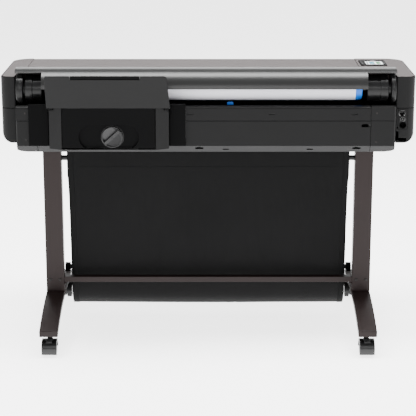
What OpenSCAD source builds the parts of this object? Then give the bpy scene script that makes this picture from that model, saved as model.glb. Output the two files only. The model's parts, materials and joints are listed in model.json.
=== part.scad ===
// Large format roll plotter on a wheeled stand, with an automatic sheet feeder and a media bin.
// Millimetres. X runs along the roll, -Y is the roll side, +Y is the user side, Z = 0 is the floor.

/* [Overall] */
// Width over the two end housings
body_w = 1317; // [1300:1:1340]
// Depth over the two feet
foot_span = 604; // [600:1:620]
// Height of the body's underside above the floor
under_z = 656; // [650:1:660]

/* [Body] */
// Thickness of the moulded shells
wall = 3; // [2.5:0.5:3]
// Height of the underside of the end housings
wing_z = 680; // [678:1:684]
// Height of the seam between the upper and lower end housings
seam_z = 794; // [790:1:798]
// Rear face of the end housings
wing_rear_y = -165; // [-168:1:-160]
// Front face of the end housings
wing_front_y = 212; // [208:1:216]
// Height of the deck at its rear edge
deck_rear_z = 896; // [892:1:900]
// Drop of the deck from its rear edge to its front edge
deck_drop = 13; // [10:1:16]
// Rear face of the lower body between the end housings
panel_y = -205; // [-206:1:-203]

/* [Roll] */
// Radius of the paper roll
roll_r = 37.5; // [30:0.5:40]
// Width of the paper on the roll
roll_w = 914; // [910:1:914]
// Outer radius of the roll cover
cover_r = 68; // [67:0.5:70]
// Radius of the spindle hubs
hub_r = 51; // [46:1:52]
// Radius of the spindle's rod
spindle_r = 12.5; // [10:0.5:13]

/* [Sheet feeder] */
// Width of the feeder's housing
feeder_w = 376; // [370:1:380]
// Lean of the input tray from upright, in degrees
tray_lean = 18.8; // [15:0.1:19]
// Length of the input tray above its hinge
tray_len = 115; // [105:1:115]

/* [Stand] */
// Distance from the middle to each column
leg_x = 512; // [500:1:515]
// Width of the columns and feet
leg_w = 60; // [56:1:62]
// Height of a foot's top at its ends
foot_end_z = 92; // [90:1:94]
// Rise of a foot from its ends to its middle
foot_rise = 51; // [45:1:55]
// Radius of the caster wheels
wheel_r = 25; // [25:0.5:25]

/* [Hidden] */
$fn = 64;

half_w = body_w / 2;
bay_left = -611;
bay_right = 597;
pan_left = -607;
pan_right = 592;
apron_right = 586;
lid_left = -594;
lid_right = 498;
lid_hinge_y = -27;
wing_rear_r = 28;
wing_front_r = 60;
wing_low_r = 36;
seam = 1;
deck_slope = atan(deck_drop / (wing_front_y - wing_rear_y));
roll_y = -138;
roll_z = 853;
roll_x0 = -447;
roll_x1 = roll_x0 + roll_w;
trough_r = 60;
cover_t = 3.5;
cover_front = 36;
cover_cut = 122;
cover_rear = 171.5;
hub_left = -525;
hub_right = 503;
feeder_x = -311;
feeder_l = feeder_x - feeder_w / 2;
feeder_r = feeder_x + feeder_w / 2;
feeder_back = -256;
feeder_front = -206;
feeder_low = 679;
feeder_top = 815;
tray_hinge_z = 818;
tray_ear = 3.5;
knob_x = -300;
knob_z = 721;
pick_y = -226;
pick_z = 745;
column_y0 = -62;
column_y1 = -30;
tube_wall = 3;
foot_t = 21;
roller_y = -4;
feed_r = 11;
feed_z = 789;
pinch_r = 7;
pinch_z = feed_z + feed_r + pinch_r + 0.3;
rail_y = 30;
rail_z = 850;
rail_r = 6;
plate_left = -588;
plate_right = 582;
belt_z = 848;
pulley_x = 540;
pulley_r = 10;
swivel_y = 258;
trail = 14;
fit = 0.05;
bin_w = 926;
bin_rod_r = 8.5;
bin_rod_y = -45;
bin_rod_z = 600;
bin_tube_y = 222;
bin_tube_z = 130;
bin_path = [[-56, 632], [-56, 540], [-33, 200], [-14, 110], [12, 76], [50, 64], [150, 64],
    [198, 84], [230, 112], [236, 132], [226, 143], [212, 142]];

black = [0.06, 0.06, 0.065];
shell_grey = [0.16, 0.16, 0.165];
strip_grey = [0.26, 0.26, 0.27];
deck_brown = [0.46, 0.42, 0.42];
stand_brown = [0.25, 0.21, 0.2];
steel = [0.62, 0.63, 0.65];

// Points along an arc from angle a0 to angle a1.
function arc(cx, cy, r, a0, a1, n = 10) =
    [for (i = [0:n]) let (a = a0 + (a1 - a0) * i / n) [cx + r * cos(a), cy + r * sin(a)]];

// Outline of a strip of thickness t along a path.
function path_normal(p, i) =
    let (a = p[max(i - 1, 0)], b = p[min(i + 1, len(p) - 1)], d = b - a) [-d.y, d.x] / norm(d);
function strip(p, t) = concat(
    [for (i = [0:len(p) - 1]) p[i] + path_normal(p, i) * t / 2],
    [for (i = [len(p) - 1:-1:0]) p[i] - path_normal(p, i) * t / 2]);

// Height of the deck's top surface, and of the top of a foot, at a place in Y.
function deck_z(y) = deck_rear_z - (y - wing_rear_y) * tan(deck_slope);
function foot_top(y) = foot_end_z + foot_rise * (1 - pow(y / (foot_span / 2), 2));

// A Y-Z outline made solid along X, an X-Z outline along Y, and a plan outline along Z.
module along_x(x0, x1) translate([x0, 0, 0]) rotate([90, 0, 90]) linear_extrude(x1 - x0) children();
module along_y(y0, y1) translate([0, y1, 0]) rotate([90, 0, 0]) linear_extrude(y1 - y0) children();
module along_z(z0, z1) translate([0, 0, z0]) linear_extrude(z1 - z0) children();
module box(a, b) translate(a) cube(b - a);
module rod_x(x0, x1, y, z, r) translate([x0, y, z]) rotate([0, 90, 0]) cylinder(r = r, h = x1 - x0);
module rod_y(y0, y1, x, z, r) translate([x, y1, z]) rotate([90, 0, 0]) cylinder(r = r, h = y1 - y0);
module deck_frame() translate([0, wing_rear_y, deck_rear_z]) rotate([-deck_slope, 0, 0]) children();
module tray_frame() translate([0, feeder_back, tray_hinge_z]) rotate([tray_lean, 0, 0]) children();

// ---- Stand ----

module column(side) {
    x = side * leg_x;
    color(stand_brown) {
        difference() {
            along_x(x - leg_w / 2, x + leg_w / 2)
                polygon([[column_y0, foot_top(column_y0) + 0.2], [column_y1, foot_top(column_y1) + 0.2],
                    [column_y1, under_z - 8], [column_y0, under_z - 8]]);
            box([x - leg_w / 2 + tube_wall, column_y0 + tube_wall, 100],
                [x + leg_w / 2 - tube_wall, column_y1 - tube_wall, under_z - 12]);
        }
        box([x - leg_w / 2 - 8, column_y0 - 20, under_z - 8], [x + leg_w / 2 + 8, column_y1 + 20, under_z]);
    }
}
module left_column() column(-1);
module right_column() column(1);

// Side outline of an arched foot, inset by t.
function foot_outline(t) =
    let (end_y = foot_span / 2 - t, step = end_y / 12)
    concat([for (i = [-12:12]) [i * step, foot_top(i * step) - t]],
        [for (i = [12:-1:-12]) [i * step, foot_top(i * step) - foot_t + t]]);

// An arched tube, with a boss under each end that takes a caster's stem.
module foot(side) {
    x = side * leg_x;
    color(stand_brown) difference() {
        union() {
            difference() {
                along_x(x - leg_w / 2, x + leg_w / 2) polygon(foot_outline(0));
                along_x(x - leg_w / 2 + tube_wall, x + leg_w / 2 - tube_wall)
                    polygon(foot_outline(tube_wall));
            }
            for (s = [-1, 1]) translate([x, s * swivel_y, 68]) cylinder(r = 15, h = 24);
        }
        for (s = [-1, 1]) translate([x, s * swivel_y, 60]) cylinder(r = 5.5 + fit, h = 28);
    }
}
module left_foot() foot(-1);
module right_foot() foot(1);

module crossbar() {
    end_x = leg_x - leg_w / 2;
    color(stand_brown) {
        box([-end_x, -62, 173], [end_x, -38, 192]);
        for (s = [-1, 1]) translate([s * (end_x - 3), -50, 170.5]) cube([6, 32, 5], center = true);
    }
}

module stand_fasteners() color(black)
    for (s = [-1, 1]) {
        for (dx = [-16, 16]) rod_y(column_y0 - 2.5, column_y0, s * leg_x + dx, 182, 5);
        for (y = [column_y0 - 10, column_y1 + 10])
            translate([s * leg_x, y, under_z - 12]) cylinder(r = 6, h = 4, $fn = 6);
    }

// ---- Media bin ----

module bin_rods() {
    end_x = leg_x - leg_w / 2;
    color(black) {
        rod_x(-end_x, end_x, bin_rod_y, bin_rod_z, bin_rod_r);
        rod_x(-end_x - 6, end_x + 6, bin_tube_y, bin_tube_z, bin_rod_r);
    }
}

module bin_brackets() color(black)
    for (s = [-1, 1]) {
        x0 = min(s * (leg_x - 24), s * (leg_x - 6));
        difference() {
            along_x(x0, x0 + 18)
                polygon(concat([[bin_tube_y - 16, foot_top(bin_tube_y - 16) + 0.2],
                    [bin_tube_y + 16, foot_top(bin_tube_y + 16) + 0.2]],
                    arc(bin_tube_y, bin_tube_z, 16, 0, 180, 12)));
            rod_x(x0 - 1, x0 + 19, bin_tube_y, bin_tube_z, bin_rod_r);
        }
    }

module bin_fabric() color(black) along_x(-bin_w / 2, bin_w / 2) polygon(strip(bin_path, 3));

// ---- Casters ----

// Places a caster made for the rear: the wheels trail away from the middle of the foot.
module at_caster(side, end)
    translate([side * leg_x, end * swivel_y, 0]) mirror([0, end > 0 ? 1 : 0, 0]) children();

// Side outline of the hood over a caster's wheels, down to an inner radius.
module hood_section(inner_r) difference() {
    translate([-trail, wheel_r]) circle(r = 29.5);
    translate([-trail, wheel_r]) circle(r = inner_r);
    polygon([[-60, -20], [20, -20], [20, 20], [-trail, wheel_r], [-60, -8]]);
}

module caster_housing(side, end) color(black) at_caster(side, end) {
    difference() {
        union() {
            translate([0, 0, 49.2]) cylinder(r = 9, h = 11.8);
            translate([0, 0, 60]) cylinder(r = 14, h = 6);
            translate([0, 0, 60]) cylinder(r = 5.5, h = 26);
            along_x(-24.5, 24.5) hood_section(26.5);
            for (x = [-24.5, 22.6]) along_x(x, x + 1.9) hood_section(20);
            along_x(-5, 5) difference() {
                translate([-trail, wheel_r]) circle(r = 27);
                polygon([[-60, -20], [20, -20], [20, 13], [-60, 13]]);
            }
            if (end < 0) for (s = [-1, 1])
                box([s * 11 - 1, -23, 52], [s * 11 + 1, -17, 59]);
        }
        rod_x(-30, 30, -trail, wheel_r, 4 + fit);
        if (end < 0) rod_x(-30, 30, -20, 56, 1.2 + fit);
    }
}
module caster_housing_rear_left() caster_housing(-1, -1);
module caster_housing_rear_right() caster_housing(1, -1);
module caster_housing_front_left() caster_housing(-1, 1);
module caster_housing_front_right() caster_housing(1, 1);

module caster_wheels(side, end) color(black) at_caster(side, end)
    translate([0, -trail, wheel_r]) rotate([0, 90, 0]) {
        cylinder(r = 4, h = 20, center = true);
        for (s = [-1, 1]) translate([0, 0, s * 14]) rotate_extrude()
            polygon([[0, -8], [wheel_r - 2, -8], [wheel_r, -6], [wheel_r, 6], [wheel_r - 2, 8],
                [18, 8], [16, 6], [8, 6], [7, 8], [0, 8]]);
    }
module caster_wheels_rear_left() caster_wheels(-1, -1);
module caster_wheels_rear_right() caster_wheels(1, -1);
module caster_wheels_front_left() caster_wheels(-1, 1);
module caster_wheels_front_right() caster_wheels(1, 1);

module caster_brake(side) color(strip_grey) at_caster(side, -1) {
    rod_x(-11.5, 11.5, -20, 56, 1.2);
    rod_x(-9.5, 9.5, -20, 56, 2);
    along_x(-9.5, 9.5) polygon([[-20, 58], [-41, 53], [-42, 50.2], [-39, 50.2], [-21, 54.6]]);
}
module caster_brake_rear_left() caster_brake(-1);
module caster_brake_rear_right() caster_brake(1);

// ---- Lower body ----

// A shallow tray with closed ends, whose bottom rises a little at each end.
module base_pan() {
    rise_x = 32;
    rise_z = 9;
    color(strip_grey) difference() {
        along_x(pan_left, pan_right)
            polygon([[panel_y + 2, wing_z], [panel_y + 19, under_z], [185, under_z], [205, wing_z]]);
        along_x(pan_left + wall, pan_right - wall)
            polygon([[panel_y + 8, wing_z + 1], [panel_y + 8, wing_z], [panel_y + 22, under_z + 6],
                [182, under_z + 6], [199, wing_z], [199, wing_z + 1]]);
        along_y(panel_y - 5, 210) {
            polygon([[pan_right - rise_x, under_z - 1], [pan_right - rise_x, under_z],
                [pan_right - rise_x / 3, under_z + rise_z / 3], [pan_right + 1, under_z + rise_z],
                [pan_right + 1, under_z - 1]]);
            polygon([[pan_left + rise_x, under_z - 1], [pan_left + rise_x, under_z],
                [pan_left + rise_x / 3, under_z + rise_z / 3], [pan_left - 1, under_z + rise_z],
                [pan_left - 1, under_z - 1]]);
        }
    }
}

panel_seam_z = 762;
panel_top_z = 807;
end_seam_x = 514;

module rear_lower_panel() color(shell_grey) difference() {
    union() {
        along_z(wing_z + seam, panel_seam_z - seam)
            polygon([[end_seam_x - seam, panel_y + 4], [end_seam_x - seam, panel_y], [pan_left + 4, panel_y],
                [pan_left, panel_y + 4], [pan_left, wing_rear_y - 1], [pan_left + 3, wing_rear_y - 1],
                [pan_left + 3, panel_y + 4]]);
        along_z(wing_z + seam, panel_top_z)
            polygon([[end_seam_x, panel_y + 4], [end_seam_x, panel_y], [pan_right - 4, panel_y],
                [pan_right, panel_y + 4], [pan_right, wing_rear_y - 1], [pan_right - 3, wing_rear_y - 1],
                [pan_right - 3, panel_y + 4]]);
    }
    rod_x(pan_left - 1, bay_right + 1, roll_y, roll_z, trough_r + 3.5);
}

module rear_upper_panel() color(shell_grey) {
    along_x(pan_left, end_seam_x - seam)
        polygon(concat([[panel_y + 4, panel_seam_z], [panel_y, panel_seam_z]],
            arc(panel_y + 8, panel_top_z - 8, 8, 180, 90, 6),
            [[-180, panel_top_z], [-180, panel_top_z - 4]],
            arc(panel_y + 8, panel_top_z - 8, 4, 90, 180, 5)));
    along_x(end_seam_x + seam, pan_right - 3.5)
        polygon([[panel_y + 5, panel_top_z - 4], [-180, panel_top_z - 4], [-180, panel_top_z],
            [panel_y + 5, panel_top_z]]);
}

// Plan outline of a right-hand end housing, inset by t all round its outer side.
function wing_plan(inner_rear, inner_front, split_y, t) = concat(
    [[inner_rear, wing_rear_y + t]],
    arc(half_w - wing_rear_r, wing_rear_y + wing_rear_r, wing_rear_r - t, -90, 0, 8),
    arc(half_w - wing_front_r, wing_front_y - wing_front_r, wing_front_r - t, 0, 90, 12),
    [[inner_front, wing_front_y - t], [inner_front, split_y], [inner_rear, split_y]]);

module wing_upper(inner_rear, inner_front) difference() {
    along_z(seam_z + seam / 2, deck_rear_z + 2) polygon(wing_plan(inner_rear, inner_front, -60, 0));
    along_z(seam_z - 2, deck_rear_z + 4)
        polygon(wing_plan(inner_rear + wall, inner_front - 1, -60 + wall, wall));
    deck_frame() {
        translate([inner_front - 20, -20, -0.6]) cube([300, 420, 40]);
        translate([inner_front - 1, wall + 0.2, -4.2]) cube([inner_rear + wall + 2 - inner_front, 200, 10]);
    }
}

module wing_lower(inner, inner_front) difference() {
    intersection() {
        along_z(wing_z, seam_z - seam / 2) polygon(wing_plan(inner, inner_front, -60, 0));
        along_y(wing_rear_y - 1, wing_front_y + 1)
            polygon(concat([[inner_front - 1, wing_z]],
                arc(half_w - wing_low_r, wing_z + wing_low_r, wing_low_r, -90, 0, 9),
                [[half_w, seam_z], [inner_front - 1, seam_z]]));
    }
    intersection() {
        along_z(wing_z + wall, seam_z + 1) polygon(wing_plan(inner + wall, inner_front - 1, -60 + wall, wall));
        along_y(wing_rear_y - 1, wing_front_y + 1)
            polygon(concat([[inner_front - 2, wing_z + wall]],
                arc(half_w - wing_low_r, wing_z + wing_low_r, wing_low_r - wall, -90, 0, 9),
                [[half_w - wall, seam_z + 2], [inner_front - 2, seam_z + 2]]));
    }
}

module left_wing_upper() color(shell_grey) mirror([1, 0, 0]) wing_upper(612, 594);
module right_wing_upper() color(shell_grey) wing_upper(598, 499);
module left_wing_lower() color(shell_grey) mirror([1, 0, 0]) wing_lower(612, 594);

// The right-hand lower housing has the window for the sockets and a hand grip below it.
module right_wing_lower() color(shell_grey) difference() {
    wing_lower(598, 587);
    box([604, wing_rear_y - 1, 726], [634, wing_rear_y + wall + 1, 790]);
    box([608, wing_rear_y - 1, 686], [632, wing_rear_y + wall + 1, 696]);
}

module port_block() color(shell_grey) difference() {
    box([604.2, wing_rear_y, 726.2], [633.8, -138, 789.8]);
    box([606, wing_rear_y - 1, 768], [627, -148, 786]);
    box([611, wing_rear_y - 1, 751], [627, -148, 764]);
    rod_y(wing_rear_y - 1, -148, 620, 738.5, 9.5);
}

// ---- Deck, lid and front ----

module top_deck() {
    t = wall + 0.4;
    depth = wing_front_y - wing_rear_y;
    lid_y = lid_hinge_y - seam - wing_rear_y;
    bay_y = 85;
    color(deck_brown) deck_frame() {
        difference() {
            translate([0, 0, -4]) linear_extrude(4) polygon(concat(
                [[bay_left - 1.5, t], [bay_left - 1.5, bay_y],
                    [bay_right + 1.5, bay_y], [bay_right + 1.5, t]],
                arc(half_w - wing_rear_r, wing_rear_r, wing_rear_r - t, -90, 0, 8),
                arc(half_w - wing_front_r, depth - wing_front_r, wing_front_r - t, 0, 90, 12),
                [[lid_right, depth - t], [lid_right, lid_y], [lid_left, lid_y], [lid_left, depth - t]],
                arc(-half_w + wing_front_r, depth - wing_front_r, wing_front_r - t, 90, 180, 12),
                arc(-half_w + wing_rear_r, wing_rear_r, wing_rear_r - t, 180, 270, 8)));
            translate([506, 217, -5]) cube([87, 103, 6]);
        }
        translate([bay_left + 3.5, bay_y + 1, -39]) cube([bay_right - bay_left - 7, 3, 36]);
    }
}

// Y-Z outline of the lid: a sloping top, a rounded nose and a front wall.
lid_t = 4;
lid_nose_r = 16;
lid_low_z = 812;
window_low_z = 822;
window_top_z = 862;
function lid_outline() =
    let (y = wing_front_y - lid_nose_r, z = deck_z(y) - lid_nose_r)
    concat([[lid_hinge_y, deck_z(lid_hinge_y)]], arc(y, z, lid_nose_r, 90 - deck_slope, 0, 10),
        [[wing_front_y, lid_low_z], [wing_front_y - lid_t, lid_low_z]],
        arc(y, z, lid_nose_r - lid_t, 0, 90 - deck_slope, 8),
        [[lid_hinge_y, deck_z(lid_hinge_y) - lid_t]]);

module front_lid() color(deck_brown) difference() {
    along_x(lid_left + seam, lid_right - seam) polygon(lid_outline());
    box([lid_left + 34, wing_front_y - 10, window_low_z], [lid_right - 34, wing_front_y + 5, window_top_z]);
}

module lid_window() color([0.2, 0.21, 0.22, 0.6])
    box([lid_left + 34.2, wing_front_y - 3.6, window_low_z + 0.2],
        [lid_right - 34.2, wing_front_y - 0.4, window_top_z - 0.2]);

apron_y = 232;
door_x0 = -586;
door_x1 = -474;
door_z0 = 697;
door_z1 = 781;
module front_apron() color(shell_grey) difference() {
    along_x(lid_left + seam, apron_right) polygon(concat(
        [[152, 791], [152, 795]], arc(apron_y - 10, 784, 10, 90, 0, 6),
        [[apron_y, 700]], arc(apron_y - 20, 700, 20, 0, -80, 8),
        arc(apron_y - 20, 700, 16, -80, 0, 7), arc(apron_y - 10, 784, 6, 0, 90, 5)));
    box([door_x0 - seam, apron_y - 10, door_z0 - seam], [door_x1 + seam, apron_y + 5, door_z1 + seam]);
}

module ink_door() color(shell_grey) difference() {
    box([door_x0, apron_y - 4, door_z0], [door_x1, apron_y, door_z1]);
    box([-550, apron_y - 1.5, door_z1 - 9], [-510, apron_y + 1, door_z1 + 1]);
}

module ink_cartridges() color([0.1, 0.1, 0.11])
    for (i = [0:3]) {
        x = -584 + 27 * i;
        box([x, 110, 700], [x + 24, 205, 772]);
        box([x + 2, 205, 706], [x + 22, 220, 766]);
    }

// ---- Roll bay ----

module roll_trough() color(black) {
    along_x(bay_left + 3, bay_right - 3) polygon(concat(
        arc(roll_y, roll_z, trough_r, 230, 343, 24), arc(roll_y, roll_z, trough_r + 3, 343, 230, 24)));
    for (x = [bay_left, bay_right - 3]) difference() {
        along_x(x, x + 3)
            polygon([[-179, 770], [-179, 815], [-166, 852], [-166, 888], [-84, 885], [-72, 850], [-72, 770]]);
        rod_x(x - 1, x + 4, roll_y, roll_z, 9 + fit);
        box([x - 1, roll_y - 9 - fit, roll_z], [x + 4, roll_y + 9 + fit, roll_z + 60]);
    }
}

module cover_arc(a1, x0, x1) along_x(x0, x1) polygon(concat(
    arc(roll_y, roll_z, cover_r, cover_front, a1, 24),
    arc(roll_y, roll_z, cover_r - cover_t, a1, cover_front, 24)));

module roll_cover() color([0.3, 0.3, 0.31]) {
    cover_arc(cover_rear, hub_left, hub_right);
    cover_arc(cover_cut, bay_left + 1, hub_left);
    cover_arc(cover_cut, hub_right, bay_right - 1);
}

module spindle_rod() color(black) {
    rod_x(hub_left, hub_right, roll_y, roll_z, spindle_r);
    rod_x(roll_x0 - 8, roll_x0, roll_y, roll_z, 44);
    rod_x(roll_x0, roll_x0 + 22, roll_y, roll_z, 25);
}

// A hub: a drum up to a, a collar up to b, a neck up to c and a grip disc up to d. Its journal reaches
// into the bay's end wall.
module hub_shape(flip, a, b, c, d, reach) rotate([0, flip * 90, 0]) rotate_extrude()
    polygon([[0, 0], [hub_r - 10, 0], [hub_r - 8, 2], [hub_r - 8, a - 1], [hub_r - 6, a], [hub_r - 6, b - 1],
        [hub_r - 8, b], [30, b], [30, c], [hub_r - 2, c], [hub_r, c + 2], [hub_r, d - 2], [hub_r - 2, d],
        [9, d], [9, reach], [0, reach]]);
module spindle_hubs() color(black) {
    translate([hub_left, roll_y, roll_z]) hub_shape(-1, 31, 54, 60, 82, hub_left - bay_left);
    translate([hub_right, roll_y, roll_z]) hub_shape(1, 43, 67, 76, 91, bay_right - hub_right);
}

module roll_stop_blue() color([0.0, 0.45, 0.85])
    translate([roll_x1, roll_y, roll_z]) rotate([0, 90, 0]) rotate_extrude()
        polygon([[spindle_r + fit, -22], [25, -22], [25, 0], [38, 0], [38, 6], [34, 21], [spindle_r + fit, 21]]);

module paper_roll() color([0.85, 0.84, 0.87]) difference() {
    rod_x(roll_x0, roll_x1, roll_y, roll_z, roll_r);
    rod_x(roll_x0 - 1, roll_x1 + 1, roll_y, roll_z, 25.4);
}

// ---- Control panel ----

module control_bezel() color(black) deck_frame() difference() {
    translate([507, 218, -10]) cube([85, 101, 13]);
    translate([522.8, 229.8, -7]) cube([60.4, 62.4, 12]);
    translate([553, 305, -11]) cylinder(r = 6.4, h = 16);
}

module touch_screen() color([0.1, 0.5, 0.6]) deck_frame() translate([523, 230, -7]) cube([60, 62, 9.6]);

module power_button() color(steel) deck_frame() translate([553, 305, -4]) cylinder(r = 6, h = 8);

// ---- Mechanism ----

module side_plates() color(steel)
    for (x = [plate_left - 4, plate_right]) difference() {
        along_x(x, x + 4)
            polygon([[-55, wing_z], [180, wing_z], [180, 770], [130, 786], [130, 868], [-55, 868]]);
        rod_x(x - 1, x + 5, roller_y, feed_z, 6 + fit);
        rod_x(x - 1, x + 5, roller_y, pinch_z, 2.5 + fit);
    }

module platen() color(black) difference() {
    union() {
        along_x(plate_left + 2, lid_right - 4) polygon([[-68, 832], [-68, 828], [-19, 796], [-19, 800]]);
        along_x(plate_left + 2, plate_right - 2) polygon([[10, 800], [10, 788], [148, 788], [148, 797]]);
        box([plate_left + 2, -68, 780], [lid_right - 4, -65, 829]);
    }
    for (i = [0:10]) box([-556 + i * 100, 30, 797], [-486 + i * 100, 90, 801]);
}

module feed_roller() color(steel) {
    rod_x(plate_left + 3, plate_right - 3, roller_y, feed_z, feed_r);
    rod_x(plate_left - 4, plate_right + 4, roller_y, feed_z, 6);
}

module pinch_rollers() color(black) {
    rod_x(plate_left - 4, plate_right + 4, roller_y, pinch_z, 2.5);
    for (i = [0:8]) rod_x(-503 + i * 120, -463 + i * 120, roller_y, pinch_z, pinch_r);
}

carriage_x = 462;
module carriage() color(black) difference() {
    union() {
        box([carriage_x, 10, 803], [carriage_x + 110, 104, 858]);
        box([carriage_x + 8, 20, 858], [carriage_x + 102, 96, 866]);
        box([carriage_x + 40, -9.5, 860.3], [carriage_x + 70, 22, 866]);
    }
    rod_x(carriage_x - 1, carriage_x + 111, rail_y, rail_z, rail_r + fit);
}

module carriage_rail() color(steel) {
    rod_x(plate_left, plate_right, rail_y, rail_z, rail_r);
    difference() {
        union() {
            box([plate_left, -48, 828], [plate_right, -12, 870]);
            rod_y(-12, -2, pulley_x, belt_z, pulley_r);
        }
        box([plate_left - 1, -45, 831], [plate_right + 1, -15, 867]);
        rod_y(-50, -11, -pulley_x, belt_z, 3 + fit);
    }
}

module belt_loop(r) {
    translate([-pulley_x, belt_z]) circle(r = r);
    translate([pulley_x, belt_z]) circle(r = r);
    translate([-pulley_x, belt_z - r]) square([2 * pulley_x, 2 * r]);
}
module drive_belt() color(black) along_y(-8, -2) difference() {
    belt_loop(pulley_r + fit + 1.5);
    belt_loop(pulley_r + fit);
}

module drive_pulley() color(steel) {
    rod_y(-9, -1, -pulley_x, belt_z, pulley_r);
    rod_y(-30, -1, -pulley_x, belt_z, 3);
}

module main_board() color([0.08, 0.3, 0.16]) {
    box([300, -175, 666], [560, -80, 669]);
    box([310, -170, 669], [420, -90, 712]);
    for (i = [0:3]) box([440 + 28 * i, -150, 669], [460 + 28 * i, -110, 678]);
}

// ---- Automatic sheet feeder ----

module feeder_plan(t) polygon([
    [feeder_l + t, feeder_front - t], [feeder_l + t, feeder_back + 18], [feeder_l + 41, feeder_back + t],
    [feeder_r - 41, feeder_back + t], [feeder_r - t, feeder_back + 18], [feeder_r - t, feeder_front - t]]);

module asf_housing() color(shell_grey) difference() {
    union() {
        along_z(feeder_low, feeder_top) feeder_plan(0);
        for (x = [feeder_l, feeder_r - 3]) {
            rod_x(x, x + 3, feeder_back, tray_hinge_z, 6);
            box([x, feeder_back, feeder_top - 14], [x + 3, feeder_back + 20, feeder_top + 4]);
        }
    }
    along_z(feeder_low + 3, feeder_top + 10) feeder_plan(3);
    box([feeder_l + 42, feeder_back - 1, feeder_low + 5], [feeder_r - 42, feeder_back + 4, feeder_top + 1]);
    box([-405, feeder_back - 1, feeder_low - 1], [-217, feeder_back + 20, feeder_low + 4]);
    rod_x(feeder_l - 1, feeder_r + 1, feeder_back, tray_hinge_z, 3 + fit);
    rod_x(feeder_l - 1, feeder_r + 1, pick_y, pick_z, 3 + fit);
}

module asf_brackets() color(black)
    for (x = [[-566, feeder_l - 4], [feeder_r + 1, -71]])
        box([x[0], -215, 682], [x[1], -205.5, 817]);

door_l = feeder_l + 43;
door_r = feeder_r - 43;
module asf_door() color([0.11, 0.11, 0.115]) difference() {
    box([door_l, feeder_back, feeder_low + 6], [door_r, feeder_back + 14, feeder_top - 3]);
    along_y(feeder_back - 1, feeder_back + 8) {
        translate([feeder_x - 54.5, knob_z - 39.5]) square([109, 79]);
        for (s = [-1, 1]) translate([feeder_x + s * 54.5, knob_z]) circle(r = 39.5);
    }
    rod_y(feeder_back - 1, feeder_back + 15, knob_x, knob_z, 5 + fit);
}

module lock_knob() color(black) {
    rod_y(feeder_back, feeder_back + 7.6, knob_x, knob_z, 33);
    rod_y(feeder_back, feeder_back + 14, knob_x, knob_z, 5);
    translate([knob_x, feeder_back - 6, knob_z]) rotate([0, -42, 0]) box([-31, 0, -5.5], [31, 7, 5.5]);
}

module pick_roller() color(black) {
    rod_x(feeder_l, feeder_r, pick_y, pick_z, 3);
    for (x = [-380, -290]) rod_x(x, x + 46, pick_y, pick_z, 12);
}

// The tray's panel narrows a little upwards. An ear at each end carries a pivot pin into the housing's bore.
module input_tray() color(shell_grey) tray_frame() {
    gap = 0.5;
    x0 = feeder_l - gap - tray_ear;
    x1 = feeder_r + gap + tray_ear;
    difference() {
        along_y(-9, -6.2) polygon([[x0, 0], [x1, 0], [x1 - 8, tray_len], [x0 - 1, tray_len]]);
        box([-426, -10, tray_len - 12], [-209, -5, tray_len + 1]);
    }
    for (x = [x0, x1 - tray_ear]) {
        pin_x = x < feeder_x ? x + tray_ear : x - 4;
        along_x(x, x + tray_ear)
            polygon(concat([[-6.2, 22], [-6.2, 0]], arc(0, 0, 5.5, 190, 360, 10), [[5.5, 8]]));
        rod_x(pin_x, pin_x + 4, 0, 0, 3);
    }
}

module tray_extension() color(black) tray_frame() {
    box([-424, -5.9, 14], [-211, -3.9, tray_len - 2]);
    box([-424, -9, tray_len - 10], [-211, -5.5, tray_len - 0.5]);
}

module sheet_guide(s) color(black) tray_frame() {
    wall_x = feeder_x + s * 150;
    box([min(wall_x, wall_x + s * 3), -3.6, 12], [max(wall_x, wall_x + s * 3), 11, 78]);
    box([min(wall_x, wall_x - s * 36), -3.6, 12], [max(wall_x, wall_x - s * 36), -1.6, 60]);
}
module sheet_guide_left() sheet_guide(-1);
module sheet_guide_right() sheet_guide(1);

left_column();
right_column();
left_foot();
right_foot();
crossbar();
stand_fasteners();
bin_rods();
bin_brackets();
bin_fabric();
caster_housing_rear_left();
caster_housing_rear_right();
caster_housing_front_left();
caster_housing_front_right();
caster_wheels_rear_left();
caster_wheels_rear_right();
caster_wheels_front_left();
caster_wheels_front_right();
caster_brake_rear_left();
caster_brake_rear_right();
base_pan();
rear_lower_panel();
rear_upper_panel();
left_wing_upper();
left_wing_lower();
right_wing_upper();
right_wing_lower();
top_deck();
front_lid();
lid_window();
front_apron();
ink_door();
roll_trough();
roll_cover();
spindle_rod();
spindle_hubs();
roll_stop_blue();
paper_roll();
control_bezel();
touch_screen();
power_button();
port_block();
side_plates();
platen();
feed_roller();
pinch_rollers();
carriage();
carriage_rail();
drive_belt();
drive_pulley();
ink_cartridges();
main_board();
asf_housing();
asf_brackets();
asf_door();
lock_knob();
pick_roller();
input_tray();
tray_extension();
sheet_guide_left();
sheet_guide_right();
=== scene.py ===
import json, math
import bpy, bmesh
from mathutils import Matrix, Vector, noise


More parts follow.
